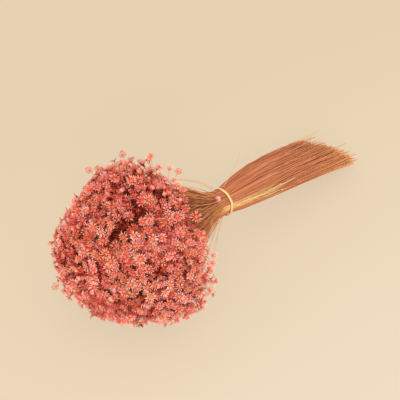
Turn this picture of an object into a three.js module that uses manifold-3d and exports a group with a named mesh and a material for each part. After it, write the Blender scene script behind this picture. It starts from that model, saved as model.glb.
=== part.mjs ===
// A tied bunch of dried star flowers, lying on its side as it was cut: a dome of small flower heads,
// the wiry stems that carry them, and a rubber band round the waist of the stems.
// Millimetres, +Z up. +X runs from the flowers to the cut ends of the stems, and the bunch rests on Z = 0.
//
// The bunch is laid out in its own upright frame first: Z along the stems from the band (Z = 0) towards the
// flowers, X the side that faces up once the bunch is laid down. A stem lock is a bundle of about fifty
// stems, and a flower cluster is the heads that those stems carry.
import * as THREE from "three";
import { mergeVertices } from "three/addons/utils/BufferGeometryUtils.js";
import Module from "manifold-3d";

const wasm = await Module();
wasm.setup();

// ---- Driving dimensions ----
const DOME_RADIUS = 92; // the dome of flower heads
const DOME_PRESS = 14; // how far the dome is flattened by the surface it lies on
const FLOWER_DEPTH = 26; // thickness of the layer of flower heads
const RIM_BACKSET = 26; // how far the flower layer reaches behind the dome's centre
const NECK_LENGTH = 126; // from the band to the dome's centre
const BEND_LENGTH = 60; // over which a stem bends from the band into its slope
const WAIST_RADIUS = 15.5; // the stems inside the band
const TAIL_RADIUS = 26; // the stems at the cut ends
const TAIL_SWELL_LENGTH = 55; // over which the tail opens out behind the band
const TAIL_SWAY = 10; // how far the cut ends lie aside of the dome's axis
const TAIL_LENGTH = 221; // from the band to the furthest cut ends
const TAIL_STAGGER = 50; // how much shorter the topmost outer stems are cut
const TAIL_UNEVENNESS = 9; // how much shorter any lock may be cut
const TAPER_LENGTH = 26; // over which a lock narrows to its ragged end
const TAPER = 0.45; // how much of its thickness a lock loses there
const BAND_WIDTH = 3.2;
const BAND_THICKNESS = 1.5;
const CLEARANCE = 0.4; // between neighbouring pieces

// Rings of stem locks round the centre one, and of flower clusters round the top one.
const INNER_COUNT = 6;
const OUTER_COUNT = 12;
const CENTRE_SHARE = 0.27; // of the waist's radius, taken by the centre lock
const INNER_SHARE = 0.61; // of the waist's radius, reached by the inner ring
const INNER_LOCK_DEPTH = 28; // thickness of the inner locks where they meet their clusters
const PALE_LOCK = 10; // the outer lock whose stems took no dye
const OUTER_INSET = [16, 4]; // outer locks: how far inside the flower layer's inner and outer rim
const INNER_POLAR = 37; // degrees from the dome's top to the inner ring of clusters
const OUTER_POLAR = 78; // and to the outer ring
const CLUSTER_SCATTER = 5; // degrees that a cluster strays from its even place

// The dome's unevenness: [degrees from the top, degrees round from the upper side, height, spread in degrees].
const DOME_LOBES = [
  [70, -140, -7, 28],
  [36, 141, 5, 24],
  [60, 78, -11, 30],
  [98, -116, 5, 32],
  [104, -96, 7, 24],
  [30, -70, 3.5, 20],
  [58, -28, 4, 24],
  [38, -112, 3, 22],
  [47, -84, -7, 9],
  [30, -128, -5, 8],
  [24, 40, 3, 22],
  [85, 150, 3, 26],
];

// Single flowers that stand clear of the dome: [degrees from the top, degrees round, stand-off].
const STRAY_PLACES = [
  [98, 36, 10],
  [76, 44, 11],
  [105, 13, 12],
  [105, 3, 10],
  [109, -2, 9],
  [112, -7, 12],
  [25, 150, 9],
  [103, -71, 9],
  [76, 104, 10],
  [95, 70, 11],
];
const STRAY_HEAD_RADIUS = 4.2;
const STRAY_HEAD_HEIGHT = 6.5;
const STRAY_STEM_RADIUS = 0.5;
// A bud caught among the stems near the band: distance from the band, degrees round.
const NECK_BUD = [24, -27];

const LOCK_SIDES = 8;
const DOME_DETAIL = 11;
const BALL_SIDES = 28;
const BAND_SIDES = 40;

// ---- Worked out from them ----
const rad = THREE.MathUtils.degToRad;
const innerDome = DOME_RADIUS - FLOWER_DEPTH;
const rimZ = NECK_LENGTH - RIM_BACKSET;
const innerRimRadius = Math.sqrt(innerDome ** 2 - RIM_BACKSET ** 2);
const outerRimRadius = Math.sqrt(DOME_RADIUS ** 2 - RIM_BACKSET ** 2);
const domeHeight = DOME_RADIUS - DOME_PRESS;

// Where the inner locks meet the hollow's surface, in the middle of their clusters.
const meetRadius = innerDome * Math.sin(rad(INNER_POLAR));
const meetZ = NECK_LENGTH + innerDome * Math.cos(rad(INNER_POLAR));

// The bunch tips until the dome and the lower edge of the tail, where its locks start to narrow,
// both lie on the surface.
const span = NECK_LENGTH + TAIL_LENGTH - TAPER_LENGTH;
const tilt = Math.asin(domeHeight / Math.hypot(span, TAIL_RADIUS)) - Math.atan2(TAIL_RADIUS, span);
const bandHeight = domeHeight - NECK_LENGTH * Math.sin(tilt);

const bunch = new THREE.Group();
bunch.rotation.y = tilt - Math.PI / 2;
bunch.position.z = bandHeight;
bunch.updateMatrix();

// ---- Materials ----
const material = (name, color, roughness) =>
  new THREE.MeshStandardMaterial({ name, color, roughness, metalness: 0 });
const flowerMaterial = material("flower_heads", 0xc7664f, 0.75);
const stemMaterial = material("stems", 0xb56a45, 0.8);
const paleStemMaterial = material("pale_stems", 0xd3a866, 0.75);
const bandMaterial = material("rubber_band", 0xdcc27c, 0.55);

// ---- Solids ----
const toSolid = (geometry) => {
  const bare = geometry.index ? geometry.toNonIndexed() : geometry.clone();
  bare.deleteAttribute("normal");
  bare.deleteAttribute("uv");
  const merged = mergeVertices(bare, 1e-3);
  return new wasm.Manifold(
    new wasm.Mesh({
      numProp: 3,
      vertProperties: merged.attributes.position.array,
      triVerts: new Uint32Array(merged.index.array),
    }),
  );
};

const toGeometry = (solid) => {
  const { numProp, numVert, vertProperties, triVerts } = solid.getMesh();
  const places = new Float32Array(numVert * 3);
  for (let i = 0; i < numVert; i++) {
    places.set(vertProperties.subarray(i * numProp, i * numProp + 3), i * 3);
  }
  const geometry = new THREE.BufferGeometry();
  geometry.setAttribute("position", new THREE.BufferAttribute(places, 3));
  geometry.setIndex(new THREE.BufferAttribute(triVerts, 1));
  geometry.computeVertexNormals();
  return geometry;
};

// Larger than anything here.
const reach = 4 * (DOME_RADIUS + NECK_LENGTH + TAIL_LENGTH);

// Everything on the far side of a plane that lies at the given distance along its normal.
const beyond = (normal, distance) => {
  const box = new THREE.BoxGeometry(reach, reach, reach).translate(0, 0, reach / 2 + distance);
  const turn = new THREE.Quaternion().setFromUnitVectors(new THREE.Vector3(0, 0, 1), normal);
  return box.applyQuaternion(turn);
};

const addPiece = (name, solid, pieceMaterial) => {
  const mesh = new THREE.Mesh(toGeometry(solid), pieceMaterial);
  mesh.name = name;
  bunch.add(mesh);
};

// The surface that the bunch lies on, seen from the upright frame.
const underTable = toSolid(
  beyond(new THREE.Vector3(0, 0, -1), 0).applyMatrix4(bunch.matrix.clone().invert()),
);

// A repeatable stream of numbers from 0 to 1.
const seeded = (seed) => () => {
  seed = (seed + 0x6d2b79f5) | 0;
  let t = Math.imul(seed ^ (seed >>> 15), 1 | seed);
  t = (t + Math.imul(t ^ (t >>> 7), 61 | t)) ^ t;
  return ((t ^ (t >>> 14)) >>> 0) / 4294967296;
};
const random = seeded(7);

// A direction from the dome's centre, by degrees from its top and round from the upper side.
const domeDirection = (polar, round) =>
  new THREE.Vector3(
    Math.sin(rad(polar)) * Math.cos(rad(round)),
    Math.sin(rad(polar)) * Math.sin(rad(round)),
    Math.cos(rad(polar)),
  );

const lobes = DOME_LOBES.map(([polar, round, height, spread]) => ({
  direction: domeDirection(polar, round),
  height,
  spread: rad(spread),
}));

const domeRadiusAt = (direction) =>
  lobes.reduce(
    (radius, lobe) =>
      radius + lobe.height * Math.exp(-((direction.angleTo(lobe.direction) / lobe.spread) ** 2)),
    DOME_RADIUS,
  );

// ---- Stem locks ----
// Radius at height z of a stem that leaves the band at waist and has the radius far at height farZ.
const bend = (z) => Math.hypot(z, BEND_LENGTH) - BEND_LENGTH;
const tailSwell = (z) => 1 + (TAIL_RADIUS / WAIST_RADIUS - 1) * (1 - Math.exp(z / TAIL_SWELL_LENGTH));
const radiusAt = (z, waist, far, farZ) =>
  z > 0 ? waist + ((far - waist) * bend(z)) / bend(farZ) : waist * tailSwell(z);

// How much of its thickness a lock keeps at height z, and how far its stems sway aside.
const thicknessAt = (z, tail) => 1 - TAPER * Math.max(0, (TAPER_LENGTH - tail - z) / TAPER_LENGTH);
const swayAt = (z) => (TAIL_SWAY * Math.max(0, -z)) / TAIL_LENGTH;

// Heights of a lock's sections: close together where it bends at the band.
const stationsFor = (tail, head) => [
  -tail,
  TAPER_LENGTH - tail,
  ...[0.6, 0.36, 0.18, 0.06].map((share) => -share * tail),
  ...[0, 0.12, 0.26, 0.42, 0.6, 0.8, 1].map((share) => share * rimZ),
  ...(head > rimZ ? [meetZ, head] : []),
];

// Half the width that an oval of the given half depth can have in its wedge of the ring.
const halfWidthIn = (count, centre, halfDepth) => {
  const half = Math.PI / count;
  const room = centre * Math.sin(half) - CLEARANCE / 2;
  return Math.sqrt(room ** 2 - (halfDepth * Math.sin(half)) ** 2) / Math.cos(half);
};

// A closed solid through a list of rings of points, with flat ends.
const loft = (rings) => {
  const sides = rings[0].length;
  const corners = rings.flat();
  const index = [];
  for (let r = 0; r + 1 < rings.length; r++) {
    for (let k = 0; k < sides; k++) {
      const [a, b] = [r * sides + k, r * sides + ((k + 1) % sides)];
      index.push(a, b, a + sides, b, b + sides, a + sides);
    }
  }
  const last = (rings.length - 1) * sides;
  for (let k = 1; k + 1 < sides; k++) {
    index.push(0, k + 1, k, last, last + k, last + k + 1);
  }
  return new THREE.BufferGeometry().setFromPoints(corners).setIndex(index);
};

// A section of a lock, an oval at height z whose long side faces the bunch's axis.
const ovalRing = (z, round, centre, halfDepth, halfWidth) =>
  Array.from({ length: LOCK_SIDES }, (_, k) => {
    const turn = ((k + 0.5) * 2 * Math.PI) / LOCK_SIDES;
    const point = new THREE.Vector3(centre + halfDepth * Math.cos(turn), halfWidth * Math.sin(turn), z);
    point.applyAxisAngle(new THREE.Vector3(0, 0, 1), rad(round));
    point.y += swayAt(z);
    return point;
  });

// A lock in a ring of so many, by its inside and outside radius at the waist and at height farZ.
const ringLock = (count, round, [waistIn, waistOut], [farIn, farOut], farZ, tail, head) =>
  loft(
    stationsFor(tail, head).map((z) => {
      const inside = radiusAt(z, waistIn, farIn, farZ);
      const outside = radiusAt(z, waistOut, farOut, farZ);
      const centre = (inside + outside) / 2;
      const halfDepth = (outside - inside) / 2;
      const kept = thicknessAt(z, tail);
      const halfWidth = halfWidthIn(count, centre, halfDepth);
      return ovalRing(z, round, centre, halfDepth * kept, halfWidth * kept);
    }),
  );

const centreLock = (waist, far, farZ, tail, head) =>
  loft(
    stationsFor(tail, head).map((z) => {
      const radius = radiusAt(z, waist, far, farZ) * thicknessAt(z, tail);
      return ovalRing(z, 0, 0, radius, radius);
    }),
  );

// The room that stems may fill: all of the neck and tail, and the hollow inside the flower layer.
const ball = (radius) =>
  toSolid(
    new THREE.SphereGeometry(radius, BALL_SIDES, BALL_SIDES / 2)
      .rotateX(Math.PI / 2)
      .translate(0, 0, NECK_LENGTH),
  );
const towardsTail = new THREE.Vector3(0, 0, -1);
const stemRoom = ball(innerDome - CLEARANCE).add(toSolid(beyond(towardsTail, CLEARANCE - rimZ)));

const addLock = (name, geometry, lockMaterial = stemMaterial) =>
  addPiece(name, toSolid(geometry).intersect(stemRoom).subtract(underTable), lockMaterial);

// Stems are cut shorter towards the upper side, and not quite evenly.
const tailFor = (waist, round) => {
  const above = (1 + (waist / WAIST_RADIUS) * Math.cos(rad(round))) / 2;
  return TAIL_LENGTH - TAIL_STAGGER * above - TAIL_UNEVENNESS * random();
};

const centreWaist = CENTRE_SHARE * WAIST_RADIUS;
const innerWaist = [centreWaist + CLEARANCE, INNER_SHARE * WAIST_RADIUS];
const outerWaist = [innerWaist[1] + CLEARANCE, WAIST_RADIUS];
const outerSpread = [innerRimRadius - OUTER_INSET[0], outerRimRadius - OUTER_INSET[1]];

const innerSpread = [meetRadius - INNER_LOCK_DEPTH / 2, meetRadius + INNER_LOCK_DEPTH / 2];
const centreSpread = innerSpread[0] - CLEARANCE;
const head = NECK_LENGTH + DOME_RADIUS;

addLock("stems_centre", centreLock(centreWaist, centreSpread, meetZ, tailFor(0, 0), head));
for (let k = 0; k < INNER_COUNT; k++) {
  const round = ((k + 0.5) * 360) / INNER_COUNT;
  const tail = tailFor(innerWaist[1], round);
  const geometry = ringLock(INNER_COUNT, round, innerWaist, innerSpread, meetZ, tail, head);
  addLock(`stems_inner_${k + 1}`, geometry);
}
for (let k = 0; k < OUTER_COUNT; k++) {
  const round = (k * 360) / OUTER_COUNT;
  const tail = tailFor(outerWaist[1], round);
  const geometry = ringLock(OUTER_COUNT, round, outerWaist, outerSpread, rimZ, tail, rimZ);
  const pale = k + 1 === PALE_LOCK;
  addLock(`stems_outer_${k + 1}`, geometry, pale ? paleStemMaterial : stemMaterial);
}

// ---- Flower clusters ----
// The whole flower layer: an uneven ball, less the hollow for the stems and all behind the rim.
const flowerBall = new THREE.IcosahedronGeometry(1, DOME_DETAIL);
const ballPlaces = flowerBall.getAttribute("position");
for (let i = 0; i < ballPlaces.count; i++) {
  const direction = new THREE.Vector3().fromBufferAttribute(ballPlaces, i).normalize();
  const place = direction.clone().multiplyScalar(domeRadiusAt(direction));
  ballPlaces.setXYZ(i, place.x, place.y, place.z + NECK_LENGTH);
}
const behindRim = toSolid(beyond(towardsTail, -rimZ));
const flowerLayer = toSolid(flowerBall)
  .subtract(ball(innerDome))
  .subtract(behindRim)
  .subtract(underTable);

const scatter = () => CLUSTER_SCATTER * (2 * random() - 1);
const clusterRing = (name, count, polar, shift) =>
  Array.from({ length: count }, (_, k) => ({
    name: `${name}_${k + 1}`,
    direction: domeDirection(polar + scatter(), ((k + shift) * 360) / count + scatter()),
  }));
const clusters = [
  { name: "flowers_centre", direction: domeDirection(Math.abs(scatter()), 360 * random()) },
  ...clusterRing("flowers_inner", INNER_COUNT, INNER_POLAR, 0.5),
  ...clusterRing("flowers_outer", OUTER_COUNT, OUTER_POLAR, 0),
];

// The part of the layer that is nearer to this cluster's direction than to any other's.
for (const { name, direction } of clusters) {
  let solid = flowerLayer;
  for (const other of clusters) {
    if (other.direction === direction) continue;
    const away = other.direction.clone().sub(direction).normalize();
    const wall = beyond(away, -CLEARANCE / 2).translate(0, 0, NECK_LENGTH);
    solid = solid.subtract(toSolid(wall));
  }
  addPiece(name, solid, flowerMaterial);
}

// ---- Rubber band ----
const bandInside = WAIST_RADIUS + CLEARANCE;
const bandOutside = bandInside + BAND_THICKNESS;
const bandEdge = BAND_WIDTH / 2;
const bandRound = BAND_THICKNESS / 3;
const bandProfile = [
  [bandInside, -bandEdge],
  [bandOutside - bandRound, -bandEdge],
  [bandOutside, -bandEdge + bandRound],
  [bandOutside, bandEdge - bandRound],
  [bandOutside - bandRound, bandEdge],
  [bandInside, bandEdge],
  [bandInside, -bandEdge],
].map(([x, y]) => new THREE.Vector2(x, y));
const band = new THREE.LatheGeometry(bandProfile, BAND_SIDES).rotateX(Math.PI / 2);
addPiece("rubber_band", toSolid(band), bandMaterial);

// ---- Single flowers ----
// A goblet-shaped head on a short length of its stem, standing on Z = 0.
const strayFlower = (stemLength) => {
  const [head, height, stem] = [STRAY_HEAD_RADIUS, STRAY_HEAD_HEIGHT, STRAY_STEM_RADIUS];
  const profile = [
    [0, 0],
    [stem, 0],
    [stem, stemLength],
    [head * 0.55, stemLength + height * 0.12],
    [head * 0.8, stemLength + height * 0.45],
    [head, stemLength + height],
    [head * 0.45, stemLength + height * 0.8],
    [0, stemLength + height * 0.9],
  ].map(([x, y]) => new THREE.Vector2(x, y));
  return new THREE.LatheGeometry(profile, 8).rotateX(Math.PI / 2);
};

const addStray = (name, foot, direction, stemLength) => {
  const turn = new THREE.Quaternion().setFromUnitVectors(new THREE.Vector3(0, 0, 1), direction);
  const geometry = strayFlower(stemLength).applyQuaternion(turn).translate(foot.x, foot.y, foot.z);
  addPiece(name, toSolid(geometry), flowerMaterial);
};

STRAY_PLACES.forEach(([polar, round, standOff], i) => {
  const direction = domeDirection(polar, round);
  const foot = direction.clone().multiplyScalar(domeRadiusAt(direction) + 3 * CLEARANCE);
  foot.z += NECK_LENGTH;
  addStray(`stray_flower_${i + 1}`, foot, direction, standOff - STRAY_HEAD_HEIGHT);
});

const [budZ, budRound] = NECK_BUD;
const budDirection = domeDirection(90, budRound);
const neckRadius = radiusAt(budZ, WAIST_RADIUS, outerSpread[1], rimZ);
const budFoot = budDirection.clone().multiplyScalar(neckRadius + 3 * CLEARANCE);
budFoot.z = budZ;
addStray("caught_bud", budFoot, budDirection, 1);

// ---- The bunch, over its own middle on the surface ----
const laidDown = new THREE.Group();
laidDown.add(bunch);
laidDown.updateMatrixWorld(true);
const bounds = new THREE.Box3().setFromObject(laidDown, true);
const middle = bounds.getCenter(new THREE.Vector3());
laidDown.position.set(-middle.x, -middle.y, -bounds.min.z);

export default laidDown;
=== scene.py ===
"""A tied bunch of dyed dried star flowers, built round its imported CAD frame.

Lengths are metres unless a name ends in mm. "Upright" coordinates stand on the rubber band: x towards the
upper side of the bunch, y to its level side, z along it towards the flowers.
"""

import math

import bpy
import numpy as np
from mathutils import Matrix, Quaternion, Vector
from mathutils.bvhtree import BVHTree


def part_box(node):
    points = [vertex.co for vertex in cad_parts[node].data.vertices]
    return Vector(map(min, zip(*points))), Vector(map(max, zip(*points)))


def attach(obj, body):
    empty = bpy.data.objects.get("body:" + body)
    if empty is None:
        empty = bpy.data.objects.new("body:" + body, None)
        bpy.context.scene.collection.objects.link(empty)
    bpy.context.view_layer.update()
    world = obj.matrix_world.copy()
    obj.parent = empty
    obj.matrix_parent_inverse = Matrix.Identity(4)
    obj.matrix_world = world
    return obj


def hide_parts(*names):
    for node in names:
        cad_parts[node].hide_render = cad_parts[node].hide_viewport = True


bl_info = {
    "name": "Bunch of Dried Flowers",
    "version": (1, 0, 0),
    "blender": (4, 5, 0),
    "location": "3D View > Sidebar > Dried Flowers",
    "description": "Builds a tied bunch of dyed dried star flowers, lying on its side",
    "category": "Add Mesh",
}

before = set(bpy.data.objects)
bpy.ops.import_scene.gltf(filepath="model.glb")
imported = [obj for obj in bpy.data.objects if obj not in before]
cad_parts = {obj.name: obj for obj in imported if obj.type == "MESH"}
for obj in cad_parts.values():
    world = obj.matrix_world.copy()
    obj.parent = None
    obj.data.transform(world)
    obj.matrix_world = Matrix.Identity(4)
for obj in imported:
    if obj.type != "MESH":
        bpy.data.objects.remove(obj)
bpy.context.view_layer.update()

BODY = "root"
MM = 0.001

# The laws that the CAD locks and clusters follow, repeated here so that single stems lie where the locks lie.
BAND_WIDTH = 3.2 * MM
DOME_RADIUS = 92 * MM
NECK_LENGTH = 126 * MM
BEND_LENGTH = 60 * MM
WAIST_RADIUS = 15.5 * MM
TAIL_RADIUS = 26 * MM
TAIL_SWELL_LENGTH = 55 * MM
TAIL_LENGTH = 221 * MM
UPPER_TURN = math.radians(34)
LOWER_TURN = math.radians(-125)
TAIL_SWAY = 10 * MM
CENTRE_SHARE = 0.27
INNER_SHARE = 0.61
INNER_LOCKS = 6
OUTER_LOCKS = 12
PALE_LOCK = "stems_outer_10"
PALE_NEIGHBOURS = ("stems_outer_9", "stems_outer_11")
PALE_AROUND = 270

# The middle line of whatever lies on the floor stays this far above it, so that no stem sinks in.
FLOOR_CLEARANCE = 0.45 * MM
# Tints of stems: up to DYED they are dyed, from dark to light, and from STRAW to 1 they are straw coloured.
DYED, STRAW = 0.86, 0.90


def srgb(red, green, blue):
    """A colour from 0 to 255 a channel, as the linear numbers that sockets take."""
    channels = [c / 255 for c in (red, green, blue)]
    return tuple(c / 12.92 if c <= 0.04045 else ((c + 0.055) / 1.055) ** 2.4 for c in channels)


def unit(vectors):
    """Vectors along the last axis, each made 1 long."""
    return vectors / np.maximum(np.linalg.norm(vectors, axis=-1, keepdims=True), 1e-12)


# ---------------------------------------------------------------- sizes and colours

def length(name, description, default_mm, smallest_mm, largest_mm):
    return bpy.props.FloatProperty(
        name=name, description=description, default=default_mm * MM, min=smallest_mm * MM,
        max=largest_mm * MM, unit="LENGTH", subtype="DISTANCE", precision=5)


def angle(name, description, degrees):
    return bpy.props.FloatProperty(
        name=name, description=description, default=math.radians(degrees), unit="ROTATION", subtype="ANGLE")


def colour(name, description, red, green, blue):
    return bpy.props.FloatVectorProperty(
        name=name, description=description, default=srgb(red, green, blue), min=0, max=1, size=3,
        subtype="COLOR")


def number(name, description, default):
    return bpy.props.FloatProperty(name=name, description=description, default=default)


class FlowerSettings(bpy.types.PropertyGroup):
    spacing: length("Spacing", "Least distance between two heads on the dome", 6.6, 4, 12)
    under_spacing: length("Under spacing", "Least distance between two heads of the second layer", 6.2, 5, 16)
    core_spacing: length("Core spacing", "Least distance between two heads of the lowest layer", 7.6, 5, 20)
    smallest: length("Smallest star", "Width of the smallest open flower", 10.5, 5, 12)
    largest: length("Largest star", "Width of the largest open flower", 14.5, 8, 18)
    widest_angle: angle("Widest angle", "How far round the dome the heads reach, from its front", 107)
    tilt: angle("Tilt", "How far a head leans away from the dome's surface, as one standard deviation", 25)
    seed: bpy.props.IntProperty(name="Seed", description="Picks the places, kinds and leans", default=11)


class StemSettings(bpy.types.PropertyGroup):
    cut_radius: length("Cut end radius", "Radius of a stem at its cut end", 0.44, 0.2, 1.2)
    head_radius: length("Head end radius", "Radius of a stem just under its head", 0.26, 0.15, 1.0)
    stray: length("Straying", "How far a cut end strays sideways, as one standard deviation", 2.6, 0, 10)
    raggedness: length("Raggedness", "How much shorter than its lock a stem may be cut", 34, 0, 60)
    stagger: length("Stagger", "How much shorter the stems are on the upper side", 72, 0, 120)
    seed: bpy.props.IntProperty(name="Seed", description="Picks the paths and the colours", default=5)


class BandSettings(bpy.types.PropertyGroup):
    thickness: length("Thickness", "Thickness of the rubber, from inside to outside", 1.3, 0.5, 2)
    ripple: length("Ripple", "How far the band dips between the stems", 0.22, 0, 0.6)


class ColourSettings(bpy.types.PropertyGroup):
    # A head's colours are mixed from the light and the deep ones by its tint. A low tint stands for deeper dye
    # and also for painted shade, a high tint for lighter dye and also for painted light.
    light_disc: colour("Disc", "Middle of a lightly dyed open flower", 202, 124, 92)
    light_base: colour("Ray base", "Foot of its rays", 204, 92, 64)
    light_ray: colour("Ray", "Length of its rays", 211, 133, 112)
    light_tip: colour("Ray tip", "Tips of its rays", 230, 206, 192)
    deep_disc: colour("Deep disc", "Middle of a deeply dyed flower", 172, 60, 32)
    deep_base: colour("Deep ray base", "Foot of its rays", 166, 20, 8)
    deep_ray: colour("Deep ray", "Length of its rays", 190, 42, 24)
    deep_tip: colour("Deep ray tip", "Tips of its rays", 202, 90, 62)
    # Painted shade: the colour of the darkest heads, deep in the dome and at the bottom of a cleft.
    deepest_painted_shade: colour("Deepest", "Flowers at the bottom of a cleft", 66, 10, 6)
    tail_dark: colour("Dark tail", "Darkest stem behind the band", 174, 90, 50)
    tail_light: colour("Light tail", "Lightest stem behind the band", 201, 134, 92)
    faded: colour("Faded ends", "Cut ends that lost their dye", 236, 162, 92)
    neck_dark: colour("Dark neck", "Darkest stem between the band and the heads", 122, 42, 16)
    neck_light: colour("Light neck", "Lightest stem between the band and the heads", 230, 157, 96)
    # Among the heads the stems are redder than in the neck, and darker by painted shade of the gaps between
    # the heads.
    inside_dark: colour("Dark inside", "Darkest stem among the heads", 122, 18, 8)
    inside_light: colour("Light inside", "Lightest stem among the heads", 206, 90, 56)
    pinker: colour("Pinker", "Tone that turns about a quarter of the heads pinker", 252, 238, 255)
    browner: colour("Browner", "Tone that turns about a quarter of the heads browner", 242, 238, 218)
    straw: colour("Straw", "Stems that took no dye", 226, 190, 130)
    straw_dark: colour("Dark straw", "Shaded streaks on those stems", 200, 142, 84)
    band: colour("Rubber", "The rubber band", 214, 186, 122)
    translucence: colour("Translucence", "Light that comes through the dry rays from behind", 255, 40, 20)
    floor: colour("Floor", "The plain surface under the bunch", 231, 209, 177)
    floor_near: colour("Near floor", "The same surface where it is nearest to the light", 241, 222, 195)


class StageSettings(bpy.types.PropertyGroup):
    azimuth: angle("Azimuth", "The camera's turn round the bunch", -40.25)
    elevation: angle("Elevation", "The camera's height above the horizon", 47)
    distance: length("Distance", "From the camera to the point it looks at", 1134.4, 300, 5000)
    lens_mm: number("Lens", "Focal length, in millimetres", 85)
    aim_side: length("Aim aside", "Where the camera looks, from the band along x", -7.55, -300, 300)
    aim_across: length("Aim across", "Where the camera looks, from the band along y", 31.9, -300, 300)
    aim_height: length("Aim height", "Height of the point that the camera looks at", 40, 0, 400)
    key_power: number("Key power", "Power of the lamp, in watts", 22)
    world_strength: number("Room light", "Strength of the light from all round", 1.6)
    floor_glow: number("Floor glow", "Share of the floor's brightness that shadows leave alone", 0.76)


SETTINGS = {"bunch_flowers": FlowerSettings, "bunch_stems": StemSettings, "bunch_band": BandSettings,
            "bunch_colours": ColourSettings, "bunch_stage": StageSettings}


# ---------------------------------------------------------------- meshes and objects

def mesh_from(name, points, edges=(), faces=(), **numbers):
    """A mesh with those points, edges and faces, and with a number for each point under each name given."""
    mesh = bpy.data.meshes.new(name)
    mesh.from_pydata([tuple(float(c) for c in p) for p in points], list(edges), list(faces))
    for label, values in numbers.items():
        store(mesh, label, values)
    mesh.update()
    return mesh


def store(mesh, name, values, kind="FLOAT"):
    """Gives every point of a mesh its number, or its vector, under that name."""
    field = "vector" if kind == "FLOAT_VECTOR" else "value"
    values = np.asarray(values, np.int32 if kind == "INT" else np.float32)
    mesh.attributes.new(name, kind, "POINT").data.foreach_set(field, values.ravel())


def read(mesh, name):
    numbers = np.zeros(len(mesh.vertices), np.float32)
    mesh.attributes[name].data.foreach_get("value", numbers)
    return numbers


def points_of(mesh):
    points = np.empty(len(mesh.vertices) * 3)
    mesh.vertices.foreach_get("co", points)
    return points.reshape(-1, 3)


def add_object(name, data):
    """A new object at the origin of the scene."""
    made = bpy.data.objects.new(name, data)
    bpy.context.scene.collection.objects.link(made)
    return made


# ---------------------------------------------------------------- node trees

def arithmetic(operation, reflected=False):
    """A method for one operator, which adds a Math node. In a reflected one the Field is on the right."""
    def method(field, other):
        first, second = (other, field) if reflected else (field, other)
        return add_node(field.tree, "ShaderNodeMath", {"operation": operation}, {0: first, 1: second})
    return method


class Field:
    """A socket of a node tree, or of a material. Arithmetic on it adds Math nodes."""

    def __init__(self, tree, socket):
        self.tree, self.socket = tree, socket

    __add__, __radd__ = arithmetic("ADD"), arithmetic("ADD", reflected=True)
    __sub__, __rsub__ = arithmetic("SUBTRACT"), arithmetic("SUBTRACT", reflected=True)
    __mul__, __rmul__ = arithmetic("MULTIPLY"), arithmetic("MULTIPLY", reflected=True)
    __truediv__ = arithmetic("DIVIDE")


def find_socket(sockets, key):
    """The socket at that place, or the first one in use that has that name."""
    if isinstance(key, int):
        return sockets[key]
    return next(s for s in sockets if s.enabled and s.name == key)


def add_node(tree, kind, settings=None, values=None, out=None):
    """Adds a node, sets it up, then gives its sockets their values or links. Gives one output back."""
    node = tree.nodes.new(kind)
    for name, value in (settings or {}).items():
        if name == "stops":
            elements = node.color_ramp.elements
            while len(elements) < len(value):
                elements.new(0.5)
            for element, (place, shade) in zip(elements, value):
                element.position, element.color = place, (*tuple(shade)[:3], 1)
        else:
            setattr(node, name, value)
    for key, value in (values or {}).items():
        socket = find_socket(node.inputs, key)
        if isinstance(value, Field):
            tree.links.new(value.socket, socket)
        elif value is not None:
            socket.default_value = value
    if out is None:
        return Field(tree, next(s for s in node.outputs if s.enabled))
    return Field(tree, find_socket(node.outputs, out))


class GeometryTree:
    """A geometry node tree with named inputs. make() runs it on a mesh and keeps the plain mesh it gives."""

    def __init__(self, name, inputs):
        self.tree = bpy.data.node_groups.new(name, "GeometryNodeTree")
        interface = self.tree.interface
        interface.new_socket(name="Geometry", in_out="INPUT", socket_type="NodeSocketGeometry")
        interface.new_socket(name="Geometry", in_out="OUTPUT", socket_type="NodeSocketGeometry")
        self.identifiers = {}
        for label, (kind, default) in inputs.items():
            item = interface.new_socket(name=label, in_out="INPUT", socket_type="NodeSocket" + kind)
            if default is not None:
                item.default_value = default
            self.identifiers[label] = item.identifier
        entry = self.tree.nodes.new("NodeGroupInput")
        self.input = {s.name: Field(self.tree, s) for s in entry.outputs if s.name}
        self.exit = self.tree.nodes.new("NodeGroupOutput")

    def add(self, kind, settings=None, values=None, out=None):
        return add_node(self.tree, kind, settings, values, out)

    def attribute(self, name, data_type="FLOAT"):
        return self.add("GeometryNodeInputNamedAttribute", {"data_type": data_type},
                        {"Name": name}, "Attribute")

    def finish(self, geometry):
        """Ends the tree in Realize Instances and Set Material."""
        real = self.add("GeometryNodeRealizeInstances", None, {"Geometry": geometry})
        dressed = self.add("GeometryNodeSetMaterial", None,
                           {"Geometry": real, "Material": self.input["Material"]})
        self.tree.links.new(dressed.socket, self.exit.inputs["Geometry"])

    def make(self, name, mesh, values):
        """A new object at the origin that holds the tree's result on that mesh, with no modifier left."""
        piece = add_object(name, mesh)
        modifier = piece.modifiers.new(self.tree.name, "NODES")
        modifier.node_group = self.tree
        for label, value in values.items():
            modifier[self.identifiers[label]] = value
        graph = bpy.context.evaluated_depsgraph_get()
        result = bpy.data.meshes.new_from_object(piece.evaluated_get(graph))
        piece.modifiers.remove(modifier)
        piece.data = result
        result.name = name
        return piece


def new_material(name, roughness, specular):
    """A material, its node tree and its Principled surface, with nothing linked to that yet."""
    material = bpy.data.materials.new(name)
    material.use_nodes = True
    surface = material.node_tree.nodes["Principled BSDF"]
    surface.inputs["Roughness"].default_value = roughness
    surface.inputs["Specular IOR Level"].default_value = specular
    return material, material.node_tree, surface


def connect(surface, socket, value):
    value.tree.links.new(value.socket, surface.inputs[socket])


def rgba(shade, brightness=1.0):
    return (*(c * brightness for c in tuple(shade)[:3]), 1.0)


def attribute_value(tree, name):
    return add_node(tree, "ShaderNodeAttribute", {"attribute_name": name}, None, "Fac")


def ramp(tree, factor, stops):
    return add_node(tree, "ShaderNodeValToRGB", {"stops": stops}, {"Fac": factor}, "Color")


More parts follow.
